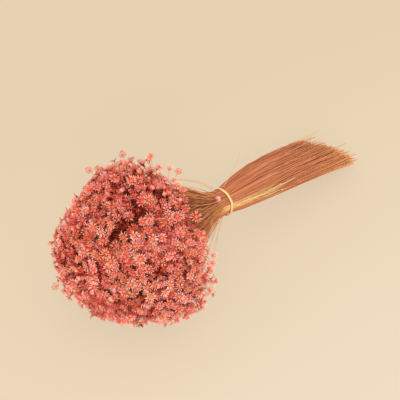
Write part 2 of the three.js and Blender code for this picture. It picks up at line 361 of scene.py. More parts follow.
def mix_colours(tree, factor, first, second, **settings):
    return add_node(tree, "ShaderNodeMix", {"data_type": "RGBA", **settings},
                    {"Factor": factor, "A": first, "B": second}, "Result")


def multiply(tree, shade, tone):
    """A colour times a constant one."""
    return mix_colours(tree, 1.0, shade, rgba(tone), blend_type="MULTIPLY", clamp_result=True)


def noise(tree, vector, scale, detail=2.0):
    return add_node(tree, "ShaderNodeTexNoise", None,
                    {"Vector": vector, "Scale": scale, "Detail": detail}, "Fac")


def streaks(tree, tint, along, across_scale, along_scale, detail=2.0):
    """Noise that changes with the tint, so from ray to ray or stem to stem, and more slowly along each."""
    spot = add_node(tree, "ShaderNodeCombineXYZ", None, {
        "X": tint * across_scale, "Y": along * along_scale, "Z": 0.0})
    return noise(tree, spot, 1.0, detail)


def share_between(tree, value, start, end):
    """0 at start, rising to 1 at end."""
    return add_node(tree, "ShaderNodeMapRange", None, {
        "Value": value, "From Min": start, "From Max": end, "To Min": 0.0, "To Max": 1.0}, "Result")


# Where the colours of a head lie, from its middle, 0, to the tips of its rays, 1.
HEAD_COLOURS = {"disc": 0.08, "base": 0.26, "ray": 0.55, "tip": 0.88}
# Strength of the glow that stands for light coming through the dry rays. The darkest heads have none.
TRANSLUCENCE = 0.065


def petal_material(colours):
    """Dyed papery rays: orange at the disc, coral, then pale at the tip, and deeper where the tint is low. A
    low tint is deeper dye and also painted shade, a high one lighter dye and also painted light.
    """
    material, tree, surface = new_material("dyed_petals", 0.75, 0.12)
    tint, along = attribute_value(tree, "tint"), attribute_value(tree, "along")
    light, deep = (ramp(tree, along, [
        (place, getattr(colours, f"{depth}_{part}")) for part, place in HEAD_COLOURS.items()])
        for depth in ("light", "deep"))
    fleck = streaks(tree, tint, along, 90, 14)
    shade = mix_colours(tree, tint + (fleck - 0.5) * 0.24, deep, light)
    # The lowest tints turn to the deepest painted shade, for heads deep in the dome and in clefts.
    shade = mix_colours(tree, share_between(tree, tint, 0.0, 0.12), rgba(colours.deepest_painted_shade), shade)
    # The hue is 0, 0.5 or 1: pinker, as it is, or browner.
    hue = attribute_value(tree, "hue")
    pinker, browner = (multiply(tree, shade, tone) for tone in (colours.pinker, colours.browner))
    shade = mix_colours(tree, 1.0 - hue * 2.0, shade, pinker)
    connect(surface, "Base Color", mix_colours(tree, hue * 2.0 - 1.0, shade, browner))
    connect(surface, "Roughness", 0.62 + fleck * 0.22)
    lit = share_between(tree, tint, 0.02, 0.30)
    connect(surface, "Emission Color", mix_colours(tree, lit, (0, 0, 0, 1), rgba(colours.translucence)))
    surface.inputs["Emission Strength"].default_value = TRANSLUCENCE
    return material


def stem_material(colours):
    """Dyed stems, streaked along their length: light and even behind the band, darker and livelier in front,
    and darker and redder still among the heads, where the darkening is painted shade.

    Their place along the bunch is 0 at the cut end, 0.5 at the band and 1 at the head.
    """
    material, tree, surface = new_material("dyed_stems", 0.6, 0.3)
    tint, along = attribute_value(tree, "tint"), attribute_value(tree, "along")
    tail = ramp(tree, tint, [(0.0, colours.tail_dark), (DYED, colours.tail_light),
                             (STRAW, colours.straw_dark), (1.0, colours.straw)])
    neck = ramp(tree, tint, [(0.0, colours.neck_dark), (DYED, colours.neck_light),
                             (STRAW, colours.neck_dark), (1.0, colours.neck_light)])
    inside = ramp(tree, tint, [(0.0, colours.inside_dark), (DYED, colours.inside_light)])
    dyed = mix_colours(tree, share_between(tree, along, 0.53, 0.60), tail, neck)
    # Near the heads the stems turn to the inside colours: redder, and darker by painted shade.
    dyed = mix_colours(tree, share_between(tree, along, 0.78, 0.90), dyed, inside)
    dyed = mix_colours(tree, share_between(tree, along, 0.20, 0.0) * 0.8, dyed, rgba(colours.faded))
    streak = streaks(tree, tint, along, 260, 34, 3.0)
    worn = mix_colours(tree, 0.45, dyed, rgba(colours.neck_dark))
    wear = (streak * 0.8 - 0.25) * share_between(tree, tint, STRAW, STRAW - 0.03)
    connect(surface, "Base Color", mix_colours(tree, wear, dyed, worn))
    connect(surface, "Roughness", 0.5 + streak * 0.25)
    return material


def object_place(tree):
    return add_node(tree, "ShaderNodeTexCoord", None, None, "Object")


def rubber_material(colours):
    """Dull natural rubber with a faint mottle and fine scratches."""
    material, tree, surface = new_material("pale_rubber", 0.55, 0.4)
    mottle = noise(tree, object_place(tree), 900.0, 4.0)
    connect(surface, "Base Color",
            mix_colours(tree, mottle * 0.8, rgba(colours.band), rgba(colours.band, 0.72)))
    connect(surface, "Roughness", 0.45 + mottle * 0.3)
    connect(surface, "Normal", add_node(tree, "ShaderNodeBump", None, {
        "Strength": 0.25, "Distance": 0.2 * MM, "Height": mottle}, "Normal"))
    return material


def floor_material(colours):
    """Plain matt cream paper that glows, so that shadows on it stay faint, and is lighter near the lamp."""
    material, tree, surface = new_material("cream_floor", 0.9, 0.1)
    stage = bpy.context.scene.bunch_stage
    place = object_place(tree)
    aside, across = (add_node(tree, "ShaderNodeSeparateXYZ", None, {"Vector": place}, axis) for axis in "XY")
    near = noise(tree, place, 1.6) * 0.2 + 0.3 - across * 1.5 - aside * 0.3
    # What the floor doesn't glow, it gives back of the light that falls on it.
    given = (1 - stage.floor_glow) / (stage.world_strength + 0.012 * stage.key_power)
    for socket, share in (("Base Color", given), ("Emission Color", stage.floor_glow)):
        shade, shade_near = (rgba(tone, share) for tone in (colours.floor, colours.floor_near))
        connect(surface, socket, mix_colours(tree, near, shade, shade_near))
    surface.inputs["Emission Strength"].default_value = 1.0
    return material


def material_named(name, maker):
    """The material of that name, made the first time it is asked for."""
    return bpy.data.materials.get(name) or maker(bpy.context.scene.bunch_colours)


# ---------------------------------------------------------------- where the bunch lies

class Axes:
    """The bunch's own axes, worked out from the box of the leaning rubber band."""

    def __init__(self):
        low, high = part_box("rubber_band")
        half = (high - low) / 2
        rim = BAND_WIDTH / 2
        lean = math.asin((half.x * half.y - rim * half.z) / (half.y ** 2 - rim ** 2))
        self.band_radius = half.y
        self.band = np.array((low + high) / 2)
        self.along = np.array((-math.cos(lean), 0, math.sin(lean)))
        self.turn = np.stack(((math.sin(lean), 0, math.cos(lean)), (0.0, 1.0, 0.0), self.along))
        self.dome = self.band + self.along * NECK_LENGTH

    def to_row(self, upright):
        return self.band + np.asarray(upright) @ self.turn

    def to_upright(self, row):
        return (np.asarray(row) - self.band) @ self.turn.T

    def direction(self, polar, around):
        """A unit vector: polar degrees from the dome's front, around degrees from its upper side."""
        p, r = np.radians(polar), np.radians(around)
        return np.stack((np.sin(p) * np.cos(r), np.sin(p) * np.sin(r), np.cos(p)), -1) @ self.turn


def bend(z):
    return np.hypot(z, BEND_LENGTH) - BEND_LENGTH


def tail_swell(z):
    return 1 + (TAIL_RADIUS / WAIST_RADIUS - 1) * (1 - np.exp(z / TAIL_SWELL_LENGTH))


def rest_on_floor(points, softness=1 * MM):
    """Points under or near the floor are lifted smoothly onto it."""
    lifted = np.array(points)
    lifted[..., 2] = softness * np.logaddexp(0, lifted[..., 2] / softness) + FLOOR_CLEARANCE
    return lifted


class Dome:
    """The outside of the CAD clusters of heads: where it is in any direction, and which cluster is there."""

    def __init__(self, axes):
        self.axes = axes
        points, faces, self.owners = [], [], []
        for name in nodes_named("flowers_"):
            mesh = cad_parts[name].data
            faces += [[len(points) + v for v in polygon.vertices] for polygon in mesh.polygons]
            self.owners += [name] * len(mesh.polygons)
            points += [Vector(p) for p in points_of(mesh)]
        self.tree = BVHTree.FromPolygons(points, faces)

    def surface(self, direction):
        """(point, node) where a line from the dome's centre leaves the clusters. It bridges their slits."""
        best = None
        side = unit(np.cross(direction, (0.31, 0.52, 0.79)))
        for shift in (0, 0.016, -0.016):
            aim = unit(direction + side * shift)
            start = self.axes.dome + aim * 3 * DOME_RADIUS
            point, _, face, _ = self.tree.ray_cast(Vector(start), Vector(-aim))
            if point is None:
                continue
            reach = (np.array(point) - self.axes.dome) @ direction
            if best is None or reach > best[0] + 4 * MM:
                best = (reach, self.owners[face])
        return best and (self.axes.dome + direction * best[0], best[1])


def nodes_named(start):
    """The names of the CAD nodes that start so, in order."""
    return sorted(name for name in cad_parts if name.startswith(start))


# ---------------------------------------------------------------- the plan

STAR, LIFTED_STAR, HALF_OPEN, CUP, BUD, BALL = range(6)
KIND_WIDTH = np.array([1.0, 0.98, 0.86, 0.74, 0.66, 0.50])
KIND_HEIGHT = np.array([0.08, 0.18, 0.36, 0.50, 0.62, 0.60])
# Heads are drawn from the openest kind to the ball: each is of the first kind whose share its draw is over.
KIND_SHARES = (0.72, 0.44, 0.26, 0.12, 0.0)
STRAY_KINDS = (CUP, CUP, LIFTED_STAR, BUD, HALF_OPEN, CUP, CUP, HALF_OPEN, HALF_OPEN, LIFTED_STAR)

# Clefts of the dome, each a line of (polar, around) degrees and half its width in mm.
CLEFTS = [
    ([(74, -2), (73, -12), (72, -19)], 3.0),
    ([(76, -18), (69, -22), (62, -23)], 4.8),
    ([(62, -23), (55, -22), (45, -25)], 3.8),
    ([(72, -60), (66, -66)], 2.6),
    ([(55, -82), (49, -87)], 3.2),
    ([(33, -39), (30, -44)], 2.2),
    ([(60, 40), (52, 62)], 3.0),
    ([(40, 150), (55, 160)], 3.0),
    ([(80, 110), (70, 122)], 3.0),
]
# The same for tufts that stand a little above the rest.
TUFTS = [
    ([(69, 58), (59, 65)], 9.0),
    ([(39, 83), (34, 88)], 7.0),
    ([(118, 6), (119, -8)], 9.0),
    ([(112, -78), (109, -92)], 7.0),
]
# And for a stretch of the dome's edge where no heads grow and the stems show.
BARE = [([(115, -18), (114, -36), (115, -56)], 11.0)]

# How far the edge of the dome strays from its widest angle, and how much wider the lower layers are.
UNEVEN_EDGE, LOWER_LAYERS_WIDER = math.radians(4), math.radians(6)
# How much darker the heads of each layer are painted, from the outside in, as painted shade, and how far one
# lies below the one before.
LAYER_PAINTED_SHADE = (0, 0.42, 0.75)
LAYER_DEPTH = (4.5, 8.0)
# Depth of a head below the CAD surface in mm: its mean, spread and limits, what clefts, tufts, the slow wander
# and a closed kind add, and the painted shade that darkens a head for each mm below the given depth.
DEPTH_MEAN, DEPTH_SPREAD, DEPTH_LIMITS = 1.0, 2.6, (-5, 7)
CLEFT_DEPTH, TUFT_DEPTH, WANDER_DEPTH, CLOSED_DEPTH = 7, -3.5, 1.6, 0.8
PAINTED_SHADE_BELOW, PAINTED_SHADE_PER_MM = 1.5, 0.05
# Tint of a head: its mean and spread, how far painted light on the side that faces the lamp and the slow
# wander change it, the painted shade of a head in a cleft, and the pale heads.
TINT_MEAN, TINT_SPREAD, TINT_BY_PAINTED_LIGHT, TINT_BY_WANDER, CLEFT_PAINTED_SHADE = 0.66, 0.17, 0.20, 0.08, 0.9
PALE_HEADS, PALER_BY = 0.04, 0.25
# From the first of these polar degrees to the second, heads slip more and more towards the band, at the end
# by (least, likeliest, most) mm.
SLIP_FROM, SLIP_TO = 86, 108
SLIP = (-4, 0, 9)

# Stems: how far their order and turn in the band stray from those of their heads, the twist and swing of their
# tails, and their bulge in the neck. They leave a head between straight inward, 0, and against its facing.
ORDER_SPREAD, TURN_SPREAD, TWIST_SPREAD = 0.05, 0.16, 0.06
TAIL_SWING, NECK_BULGE = 0.35 * MM, 0.9 * MM
LEAVES_AS_FACING = 1.1
STEM_TINT, STEM_TINT_SPREAD = 0.45, 0.22
# A few stems stray further, and some are longer, by mm.
WILD_STEMS, WILD_STRAY, WILD_RISE = 0.02, 1.9, 2 * MM
LONG_STEMS, LONGER_BY = 0.09, (4, 20)
# The straw stems: how far out in the band they start, how many degrees they take up, and their length in mm.
STRAW_EDGE, STRAW_DEGREES, STRAW_LENGTH = 0.87, 26, (40, 60, 110)
# Shares of a stem's length at which its path has a point: from the band to the head, and to the cut end.
NECK_SHARES = (0.13, 0.30, 0.50, 0.68, 0.80, 0.90, 1.0)
TAIL_SHARES = (0.0, 0.10, 0.24, 0.42, 0.62, 0.82, 1.0)


def scattered_directions(generator, axes, widest, spacing, tries):
    """Unit directions over the dome, tried at random and kept where none is nearer than spacing."""
    height = generator.uniform(math.cos(widest), 1, tries)
    around = generator.uniform(-math.pi, math.pi, tries)
    flat = np.sqrt(1 - height ** 2)
    trials = np.stack((flat * np.cos(around), flat * np.sin(around), height), -1) @ axes.turn
    kept, count = np.empty_like(trials), 0
    nearest = 1 - (spacing / DOME_RADIUS) ** 2 / 2
    for trial in trials:
        if count == 0 or (kept[:count] @ trial).max() < nearest:
            kept[count] = trial
            count += 1
    return kept[:count]


def patches(generator, directions, sharpness, waves=9):
    """A slow wander over the dome, about -1 to 1, that is the same for near neighbours."""
    turns = generator.normal(size=(waves, 3)) * sharpness
    phases = generator.uniform(0, 2 * math.pi, waves)
    return np.cos(directions @ turns.T + phases).sum(1) / math.sqrt(waves / 2) / 1.6


def nearness(axes, directions, lines):
    """0 away from every line, rising to 1 along one."""
    near = np.zeros(len(directions))
    for corners, half_width in lines:
        polar, around = np.array(corners, float).T
        steps = np.linspace(0, len(corners) - 1, 24)
        line = axes.direction(np.interp(steps, range(len(corners)), polar),
                              np.interp(steps, range(len(corners)), around))
        apart = np.sqrt(np.maximum(2 - 2 * (directions @ line.T).max(1), 0)) * DOME_RADIUS
        near = np.maximum(near, np.clip(1.7 - apart / (half_width * MM), 0, 1))
    return near


def lean_at_random(generator, directions, amount):
    """Directions turned by a random lean, of about amount radians."""
    return unit(directions + generator.normal(scale=amount, size=directions.shape))


class Plan:
    """Every flower of the bunch: its head's place, facing, kind, size and tint, and the path of its stem."""

    def __init__(self):
        flowers, stems = bpy.context.scene.bunch_flowers, bpy.context.scene.bunch_stems
        self.axes = Axes()
        self.dome = Dome(self.axes)
        generator = np.random.default_rng(flowers.seed)
        widest, lower_widest = flowers.widest_angle, flowers.widest_angle + LOWER_LAYERS_WIDER
        layers = [self.layer(generator, flowers, widest, flowers.spacing, 26000, 0),
                  self.layer(generator, flowers, lower_widest, flowers.under_spacing, 16000, 1),
                  self.layer(generator, flowers, lower_widest, flowers.core_spacing, 9000, 2),
                  self.hangers(generator, flowers),
                  self.strays(generator, flowers)]
        self.heads = {key: np.concatenate([layer[key] for layer in layers]) for key in layers[0]}
        self.make_stems(np.random.default_rng(stems.seed), stems)

    def layer(self, generator, flowers, widest, spacing, tries, level):
        """Heads over the dome: level 0 is its outside, and levels 1 and 2 lie deeper and are darker by painted
        shade.
        """
        directions = scattered_directions(generator, self.axes, widest + UNEVEN_EDGE, spacing, tries)
        reach = widest + UNEVEN_EDGE * patches(generator, directions, 4.0)
        directions = directions[np.arccos(directions @ self.axes.along) < reach]
        found = [self.dome.surface(d) for d in directions]
        directions = directions[[f is not None for f in found]]
        surface, owner = map(np.array, zip(*(f for f in found if f is not None)))
        count = len(directions)
        polar = np.degrees(np.arccos(directions @ self.axes.along))
        cleft = nearness(self.axes, directions, CLEFTS)
        kept = (nearness(self.axes, directions, BARE) < 0.5) & ((cleft < 0.5) | (level > 0))

        light = self.openness(directions)
        wander = patches(generator, directions, 5.0)
        draw = generator.uniform(size=count) + 0.40 * (light - 0.5) + 0.10 * wander
        kind = np.select([draw > share for share in KIND_SHARES],
                         [STAR, LIFTED_STAR, HALF_OPEN, CUP, BUD], BALL)
        size = KIND_WIDTH[kind] * generator.uniform(flowers.smallest, flowers.largest, count)
        # Heads on the side that faces the lamp are painted lighter: painted light.
        tint = TINT_MEAN + TINT_BY_PAINTED_LIGHT * (light - 0.5) + TINT_BY_WANDER * wander
        tint += generator.normal(scale=TINT_SPREAD, size=count)
        tint += np.where(generator.uniform(size=count) < PALE_HEADS, PALER_BY, 0)

        sunk_mm = generator.normal(DEPTH_MEAN, DEPTH_SPREAD, count).clip(*DEPTH_LIMITS)
        sunk_mm += np.where(kind >= HALF_OPEN, CLOSED_DEPTH, 0)
        # Heads that lie deeper are painted darker: painted shade.
        tint -= PAINTED_SHADE_PER_MM * np.maximum(sunk_mm - PAINTED_SHADE_BELOW, 0)
        # Heads in clefts and of the lower layers are painted darker as well: painted shade.
        tint -= CLEFT_PAINTED_SHADE * cleft + LAYER_PAINTED_SHADE[level]
        sunk_mm += patches(generator, directions, 6.0) * WANDER_DEPTH
        sunk_mm += nearness(self.axes, directions, TUFTS) * TUFT_DEPTH
        sunk_mm += cleft * CLEFT_DEPTH + level * generator.uniform(*LAYER_DEPTH, count)

        at_edge = np.clip((polar - SLIP_FROM) / (SLIP_TO - SLIP_FROM), 0, 1)
        slip = at_edge * generator.triangular(*SLIP, count) * MM
        surface = surface - self.axes.along * slip[:, None]
        facing = unit(0.75 * directions + 0.25 * unit(surface - self.axes.band))
        facing = lean_at_random(generator, facing, flowers.tilt * (1.3 if level else 1.0))
        plan = {
            "place": surface - directions * (sunk_mm * MM + KIND_HEIGHT[kind] * size)[:, None],
            "facing": facing,
            "spin": generator.uniform(0, 2 * math.pi, count),
            "kind": kind,
            "size": size,
            "tint": np.clip(tint, 0.02, 0.97),
            "hue": np.clip(np.round(1 + generator.normal(scale=0.7, size=count) + 0.3 * wander), 0, 2) / 2,
            "owner": owner,
        }
        return {key: values[kept] for key, values in plan.items()}

    def hangers(self, generator, flowers):
        """Small buds on short stems around the back edge of the dome."""
        plan = self.layer(generator, flowers, math.radians(118), 11 * MM, 9000, 0)
        polar = np.arccos(unit(plan["place"] - self.axes.dome) @ self.axes.along)
        kept = (polar > math.radians(100)) & (generator.uniform(size=len(polar)) < 0.8)
        plan["kind"] = np.full(len(polar), BUD)
        plan["kind"][::3] = CUP
        plan["size"] = generator.uniform(6.0, 8.5, len(polar)) * MM
        return {key: values[kept] for key, values in plan.items()}

    def strays(self, generator, flowers):
        """The single flowers that stand clear of the dome, each at the end of its CAD solid."""
        rows = []
        for number, kind in enumerate(STRAY_KINDS, 1):
            name = f"stray_flower_{number}"
            points = points_of(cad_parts[name].data)
            reach = np.linalg.norm(points - self.axes.dome, axis=1)
            tip, foot = points[reach.argmax()], points[reach.argmin()]
            outward = unit(tip - foot)
            upward = unit(0.5 * outward + unit(np.array((-0.3, -0.5, 0.8))))
            size = KIND_WIDTH[kind] * generator.uniform(12.5, 15.0) * MM
            rows.append((tip - outward * (KIND_HEIGHT[kind] * size + 0.5 * MM),
                         lean_at_random(generator, upward, 0.25), generator.uniform(0, 6), kind, size,
                         generator.uniform(0.45, 0.75), 0.5, name))
        columns = [np.array(column) for column in zip(*rows)]
        return dict(zip(("place", "facing", "spin", "kind", "size", "tint", "hue", "owner"), columns))

    def openness(self, directions):
        """0 to 1, rising towards the level side at -y that faces the lamp: the heads open more there, and are
        painted lighter there, which is painted light.
        """
        return np.clip(0.5 + 0.62 * (directions @ unit(np.array((0.12, -1.0, -0.10)))), 0, 1)

    def make_stems(self, generator, stems):
        """A stem for each head, that leaves it along its facing and runs through the band to its cut end."""
        heads = self.heads
        count = len(heads["size"])
        self.single = np.char.startswith(heads["owner"].astype(str), "stray")
        outward = unit(heads["place"] - self.axes.dome)
        leaving = unit(outward + np.where(self.single, 0.0, LEAVES_AS_FACING)[:, None] * heads["facing"])
        base = self.axes.to_upright(heads["place"])
        from_dome = base - np.array((0, 0, NECK_LENGTH))
        polar = np.arctan2(np.hypot(from_dome[:, 0], from_dome[:, 1]), from_dome[:, 2])
        # The further out its head is on the dome, the further out a stem passes through the band.
        rank = np.empty(count)
        rank[np.argsort(polar + generator.normal(scale=ORDER_SPREAD, size=count))] = np.arange(count)
        waist = (WAIST_RADIUS - 0.4 * MM) * np.sqrt((rank + 0.5) / count)
        head_angle = np.arctan2(base[:, 1], base[:, 0])
        waist_angle = head_angle + generator.normal(scale=TURN_SPREAD, size=count)
        edge, around = waist / WAIST_RADIUS, np.degrees(waist_angle) % 360
        self.straw = (edge > STRAW_EDGE) & (around > PALE_AROUND) & (around < PALE_AROUND + STRAW_DEGREES)

        neck = self.neck_rings(generator, base, leaving @ self.axes.turn.T, waist, waist_angle, head_angle)
        tail = self.tail_rings(generator, stems, waist, waist_angle)
        path = np.stack(tail[::-1] + neck, 1)
        self.paths = rest_on_floor(self.axes.to_row(path))
        reach = path[:, :, 2]
        self.along = 0.5 + 0.5 * np.where(reach < 0, reach / TAIL_LENGTH, reach / base[:, 2:])
        tint = np.clip(STEM_TINT + generator.normal(scale=STEM_TINT_SPREAD, size=count), 0.0, DYED)
        tint[self.single] = DYED - 0.02
        self.stem_tint = np.where(self.straw, generator.uniform(STRAW + 0.02, 1.0, count), tint)
        self.stem_owner = np.array([self.lock_of(*stem) for stem in zip(edge, around, self.straw)])

    def neck_rings(self, generator, base, leaving, waist, waist_angle, head_angle):
        """A point of each stem at each of NECK_SHARES, from just past the band to its head, upright."""
        far, far_z = np.hypot(base[:, 0], base[:, 1]), base[:, 2]
        # Stems on the lower side stay close together for longer.
        off_lower = np.angle(np.exp(1j * (waist_angle - LOWER_TURN)))
        hug = 1 + 0.45 * np.exp(-(off_lower / 0.8) ** 2)
        rings = []
        for share in NECK_SHARES:
            z = far_z * share
            out = waist + (far - waist) * (bend(z) / bend(far_z)) ** hug
            turn = waist_angle + (head_angle - waist_angle) * share
            bulge = generator.normal(scale=NECK_BULGE, size=(len(base), 2)) * math.sin(math.pi * share)
            law = np.stack((out * np.cos(turn) + bulge[:, 0], out * np.sin(turn) + bulge[:, 1], z), -1)
            # Past the middle, a stem bends over to the line on which it meets its head.
            left = np.linalg.norm(base - law, axis=1, keepdims=True)
            blend = np.clip((share - 0.45) / 0.55, 0, 1) ** 2
            rings.append(law * (1 - blend) + (base - leaving * (left - 0.2 * MM)) * blend)
        return rings

    def tail_rings(self, generator, stems, waist, waist_angle):
        """The same at each of TAIL_SHARES, from the band to the cut end."""
        count = len(waist)
        upper = (1 + waist / WAIST_RADIUS * np.cos(waist_angle - UPPER_TURN)) / 2
        tail = TAIL_LENGTH - stems.stagger * upper ** 0.9
        tail = tail - generator.triangular(0, 0, 1, count) * stems.raggedness
        wild = generator.uniform(size=count) < WILD_STEMS
        tail = np.where(self.straw, generator.triangular(*STRAW_LENGTH, count) * MM, tail)
        longer = (generator.uniform(size=count) < LONG_STEMS) & ~self.straw
        tail = tail + np.where(longer, generator.uniform(*LONGER_BY, count) * MM, 0) * np.sqrt(upper)
        drift = generator.normal(scale=stems.stray, size=(count, 2))
        drift *= np.where(wild, WILD_STRAY, 1.0)[:, None]
        drift[:, 0] += np.where(wild, WILD_RISE, 0)
        sway = generator.normal(scale=TAIL_SWING, size=(count, 2, 4))
        twist = generator.normal(scale=TWIST_SPREAD, size=count)
        rings = []
        for share in TAIL_SHARES:
            z = -tail * share
            back = np.clip(-z / TAIL_LENGTH, 0, 1)
            # The upper side first swells a little, then comes down to the cut ends.
            swell = np.sin(math.pi * np.clip(back / 0.6, 0, 1))
            out = waist * tail_swell(z) * (1 + upper * (0.14 * swell - 0.58 * back ** 3))
            turn = waist_angle + twist * share
            wave = sum(sway[:, :, k] * math.sin((k + 1) * math.pi * share) for k in range(4))
            aside = TAIL_SWAY * (back - 1.3 * back ** 3)
            side = np.stack((out * np.cos(turn), out * np.sin(turn) + aside), -1)
            rings.append(np.concatenate((side + drift * (share ** 1.6) + wave, z[:, None]), 1))
        return rings

    def lock_of(self, edge, around, pale):
        """The CAD lock that a stem lies in, by its place in the band."""
        if pale:
            return PALE_LOCK
        if edge < CENTRE_SHARE:
            return "stems_centre"
        if edge < INNER_SHARE:
            return f"stems_inner_{int(around // (360 / INNER_LOCKS)) + 1}"
        lock = f"stems_outer_{int(round(around / (360 / OUTER_LOCKS))) % OUTER_LOCKS + 1}"
        return PALE_NEIGHBOURS[int(around > PALE_AROUND)] if lock == PALE_LOCK else lock


_plans = []


def the_plan():
    """The plan, made once for the operators that share it."""
    if not _plans:
        _plans.append(Plan())
    return _plans[0]


# ---------------------------------------------------------------- heads

# A ray in its own frame, where it points along x and its face looks along z: (x, half width, height) at its
# middle, then the height of its tip. A head's outline is 1 wide.
RAY_SHAPES = {
    "ray_flat": ((0.45, 0.044, 0.02), 0.0),
    "ray_arched": ((0.46, 0.046, 0.09), -0.02),
    "ray_cupped": ((0.50, 0.062, -0.12), 0.10),
    "ray_closed": ((0.48, 0.095, -0.20), 0.34),
}

# kind: ray shape, rays, foot radius, ray length, lift and its spread in degrees, disc radius, disc height
HEAD_SHAPES = {
    STAR: ("ray_flat", 13, 0.11, 0.39, 9, 11, 0.150, 0.080),
    LIFTED_STAR: ("ray_arched", 13, 0.11, 0.41, 28, 15, 0.145, 0.090),
    HALF_OPEN: ("ray_arched", 12, 0.13, 0.46, 47, 12, 0.160, 0.110),
    CUP: ("ray_cupped", 12, 0.15, 0.54, 62, 9, 0.160, 0.140),
    BUD: ("ray_closed", 10, 0.14, 0.66, 74, 5, 0.200, 0.300),
    BALL: ("ray_closed", 8, 0.15, 0.66, 70, 5, 0.240, 0.420),
}


def ray_mesh(name):
    """A slim closed spindle with three long edges: one along each side and one on its back."""
    (middle, half_width, height), tip = RAY_SHAPES[name]
    points = [(0, 0, 0), (middle, half_width, height + 0.02), (middle, -half_width, height + 0.02),
              (middle, 0, height - 0.035), (1, 0, tip)]
    faces = [(0, 2, 1), (0, 3, 2), (0, 1, 3), (4, 1, 2), (4, 2, 3), (4, 3, 1)]
    return mesh_from(name, points, (), faces, along=[0.22, 0.6, 0.6, 0.5, 1.0], across=[0, 1, -1, 0, 0])


def disc_mesh():
    """The florets as a jagged crown, over a cone that runs down into the stem. It is 1 in radius."""
    count = 10
    points, along, across, faces = [(0, 0, 0.55)], [0.0], [0.0], []
    for k in range(count):
        turn = 2 * math.pi * k / count
        out, up, place, side = (1.0, 0.15, 0.16, 1.0) if k % 2 else (0.72, 0.62, 0.03, -1.0)
        points.append((out * math.cos(turn), out * math.sin(turn), up))
        along.append(place)
        across.append(side)
        a, b = 1 + k, 1 + (k + 1) % count
        faces += [(0, a, b), (count + 1, b, a)]
    return mesh_from("disc", points + [(0, 0, -1.5)], (), faces, along=along + [0.42], across=across + [0.0])


def head_tree():
    """One flower head: a ring of rays of uneven lift and length, and its disc."""
    g = GeometryTree("Flower head", {
        "Ray": ("Object", None), "Disc": ("Object", None),
        "Rays": ("Int", 12), "Foot Radius": ("Float", 0.07),
        "Ray Length": ("Float", 0.44), "Lift": ("Float", 0.2), "Lift Spread": ("Float", 0.1),
        "Disc Radius": ("Float", 0.15), "Disc Height": ("Float", 0.1), "Seed": ("Int", 0),
        "Material": ("Material", None)})
    index = g.add("GeometryNodeInputIndex")

    def chance(low, high, shift):
        return g.add("FunctionNodeRandomValue", {"data_type": "FLOAT"},
                     {"Min": low, "Max": high, "ID": index, "Seed": g.input["Seed"] + shift}, "Value")

    turn = index * (2 * math.pi) / g.input["Rays"] + chance(-0.15, 0.15, 1)
    foot = g.input["Foot Radius"]
    place = g.add("ShaderNodeCombineXYZ", None, {
        "X": foot * g.add("ShaderNodeMath", {"operation": "COSINE"}, {0: turn}),
        "Y": foot * g.add("ShaderNodeMath", {"operation": "SINE"}, {0: turn}), "Z": 0.0})
    points = g.add("GeometryNodePoints", None, {"Count": g.input["Rays"], "Position": place})
    points = g.add("GeometryNodeStoreNamedAttribute", {"data_type": "FLOAT", "domain": "POINT"}, {
        "Geometry": points, "Name": "shade", "Value": chance(-1.0, 1.0, 2)})
    lift = g.input["Lift"] + g.input["Lift Spread"] * chance(-1.0, 1.0, 3)
    rotation = g.add("FunctionNodeEulerToRotation", None, {"Euler": g.add(
        "ShaderNodeCombineXYZ", None, {"X": chance(-0.35, 0.35, 4), "Y": lift * -1.0, "Z": turn})})
    size = g.add("ShaderNodeCombineXYZ", None, {
        "X": g.input["Ray Length"] * chance(0.80, 1.10, 5), "Y": chance(0.85, 1.15, 6),
        "Z": g.input["Ray Length"]})
    ray = g.add("GeometryNodeObjectInfo", None, {"Object": g.input["Ray"]}, "Geometry")
    rays = g.add("GeometryNodeInstanceOnPoints", None,
                 {"Points": points, "Instance": ray, "Rotation": rotation, "Scale": size})
    disc = g.add("GeometryNodeObjectInfo", None, {"Object": g.input["Disc"]}, "Geometry")
    disc = g.add("GeometryNodeTransform", None, {"Geometry": disc, "Scale": g.add(
        "ShaderNodeCombineXYZ", None,
        {"X": g.input["Disc Radius"], "Y": g.input["Disc Radius"], "Z": g.input["Disc Height"]})})
    join = g.tree.nodes.new("GeometryNodeJoinGeometry")
    g.tree.links.new(disc.socket, join.inputs[0])
    g.tree.links.new(rays.socket, join.inputs[0])
    g.finish(Field(g.tree, join.outputs[0]))
    return g


def scatter_tree():
    """Heads on points: each point's kind picks a head, and its turn and size place it."""
    g = GeometryTree("Scatter heads", {"Heads": ("Collection", None), "Material": ("Material", None)})
    heads = g.add("GeometryNodeCollectionInfo", None, {
        "Collection": g.input["Heads"], "Separate Children": True, "Reset Children": True})
    rotation = g.add("FunctionNodeEulerToRotation", None, {"Euler": g.attribute("turn", "FLOAT_VECTOR")})
    g.finish(g.add("GeometryNodeInstanceOnPoints", None, {
        "Points": g.input["Geometry"], "Instance": heads, "Pick Instance": True,
        "Instance Index": g.attribute("kind", "INT"), "Rotation": rotation,
        "Scale": g.attribute("size", "FLOAT_VECTOR")}))
    return g


VARIANTS = 4


